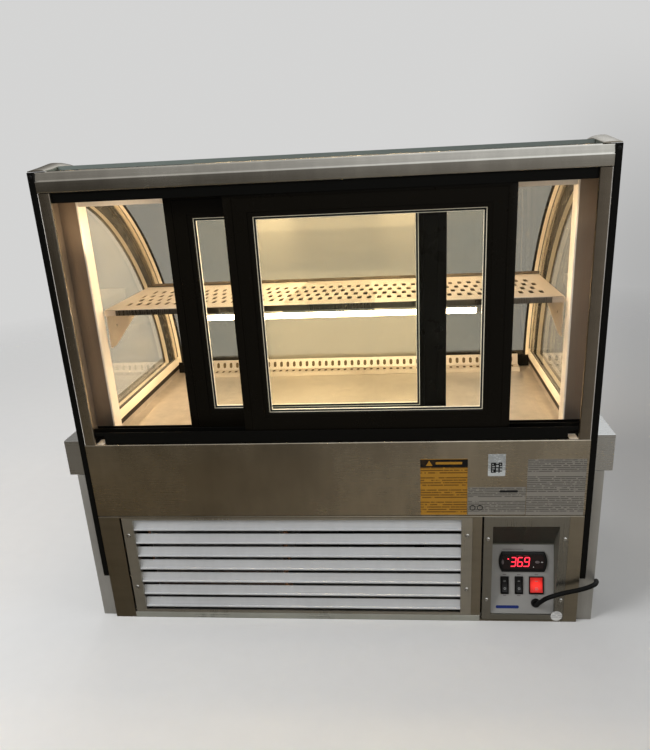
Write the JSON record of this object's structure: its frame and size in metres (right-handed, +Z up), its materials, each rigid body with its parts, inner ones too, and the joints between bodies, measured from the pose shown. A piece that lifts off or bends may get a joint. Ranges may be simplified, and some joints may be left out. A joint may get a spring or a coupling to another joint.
{
  "type": "bakery display case",
  "caption": "Refrigerated drop-in display case with sliding operator doors, curved customer glass, glazed ends, a lit perforated shelf, louvred intake and recessed controls.",
  "frame": {"origin": "centre of the flat underside, midway between the operator's face and the collar's front", "axes": "+Z up, +X to the right as the operator sees the case, -Y towards the operator and +Y towards the customer"},
  "size_m": [0.9267, 0.5585, 0.7971],
  "materials": {
    "stainless": "satin brushed",
    "bright_trim": "bright brushed",
    "aluminium_louvre": "satin mill finish",
    "black_trim": "satin black",
    "black_rubber": "matte",
    "clear_glass": "polished",
    "silver_face": "fine satin",
    "black_plastic": "semi gloss",
    "red_lens": "translucent, lit",
    "grey_key": "soft matte",
    "lamp_tube": "frosted, lit",
    "screw_steel": "bright",
    "black_paint": "satin",
    "coil_fins": "fine fins",
    "copper_line": "drawn tube",
    "white_plastic": "matte",
    "foam_liner": "foam core in a thin stainless skin"
  },
  "bodies": {
    "case": {"base_pan": "stainless", "outer_shell": "stainless", "counter_collar": "stainless", "rear_lower_frame": "stainless", "rear_apron": "stainless", "left_rear_post": "stainless", "right_rear_post": "stainless", "rear_header": "stainless", "deck_panel": "stainless", "air_duct_cover": "stainless", "shelf": "stainless", "left_shelf_bracket": "stainless", "right_shelf_bracket": "stainless", "left_edge_strip": "black_trim", "right_edge_strip": "black_trim", "lower_track": "black_trim", "upper_track": "black_trim", "louvre_grille": "aluminium_louvre", "grille_screw_1": "screw_steel", "grille_screw_2": "screw_steel", "grille_screw_3": "screw_steel", "grille_screw_4": "screw_steel", "control_screw_1": "screw_steel", "control_screw_2": "screw_steel", "control_screw_3": "screw_steel", "control_screw_4": "screw_steel", "control_panel": "silver_face", "thermostat": "black_plastic", "left_rocker_housing": "black_plastic", "middle_rocker_housing": "black_plastic", "power_rocker_housing": "black_plastic", "cord_grommet": "black_rubber", "power_cord": "black_rubber", "front_glass_gasket": "black_rubber", "left_end_glass": "clear_glass", "right_end_glass": "clear_glass", "front_glass": "clear_glass", "left_end_rail": "bright_trim", "right_end_rail": "bright_trim", "insulated_well": "foam_liner", "shelf_lamp": "lamp_tube", "header_lamp": "lamp_tube", "compressor": "black_paint", "condenser_fan_motor": "black_paint", "evaporator_fan_motor": "black_paint", "condenser_coil": "coil_fins", "evaporator_coil": "coil_fins", "suction_line": "copper_line", "condensate_pan": "white_plastic"},
    "outer_door": {"outer_door_frame": "black_trim", "outer_door_glass": "clear_glass"},
    "inner_door": {"inner_door_frame": "black_trim", "inner_door_glass": "clear_glass"},
    "left_rocker": {"left_rocker": "black_plastic"},
    "middle_rocker": {"middle_rocker": "black_plastic"},
    "power_rocker": {"power_rocker": "red_lens"},
    "thermostat_set_key": {"thermostat_set_key": "grey_key"},
    "thermostat_power_key": {"thermostat_power_key": "grey_key"},
    "condenser_fan": {"condenser_fan": "aluminium_louvre"},
    "evaporator_fan": {"evaporator_fan": "black_plastic"}
  },
  "joints": [
    {"name": "outer_door_slide", "type": "slide", "parent": "case", "child": "outer_door", "axis": [1, 0, 0], "range_m": [-0.2686, 0.118]},
    {"name": "inner_door_slide", "type": "slide", "parent": "case", "child": "inner_door", "axis": [1, 0, 0], "range_m": [-0.1697, 0.2167]},
    {"name": "left_rocker_tip", "type": "hinge", "parent": "case", "child": "left_rocker", "pos_m": [0.294, -0.24543, 0.06309], "axis": [1, 0, 0], "range_deg": [0, 16]},
    {"name": "middle_rocker_tip", "type": "hinge", "parent": "case", "child": "middle_rocker", "pos_m": [0.3186, -0.24543, 0.06309], "axis": [1, 0, 0], "range_deg": [0, 16]},
    {"name": "power_rocker_tip", "type": "hinge", "parent": "case", "child": "power_rocker", "pos_m": [0.3486, -0.24543, 0.06309], "axis": [1, 0, 0], "range_deg": [0, 16]},
    {"name": "thermostat_set_key_press", "type": "slide", "parent": "case", "child": "thermostat_set_key", "axis": [0, 0.9664, -0.2572], "range_m": [0, 0.0006]},
    {"name": "thermostat_power_key_press", "type": "slide", "parent": "case", "child": "thermostat_power_key", "axis": [0, 0.9664, -0.2572], "range_m": [0, 0.0006]},
    {"name": "condenser_fan_spin", "type": "hinge", "parent": "case", "child": "condenser_fan", "pos_m": [-0.22, -0.1767, 0.106], "axis": [0, 1, 0], "continuous": true},
    {"name": "evaporator_fan_spin", "type": "hinge", "parent": "case", "child": "evaporator_fan", "pos_m": [0, -0.0047, 0.284], "axis": [0, 1, 0], "continuous": true}
  ]
}
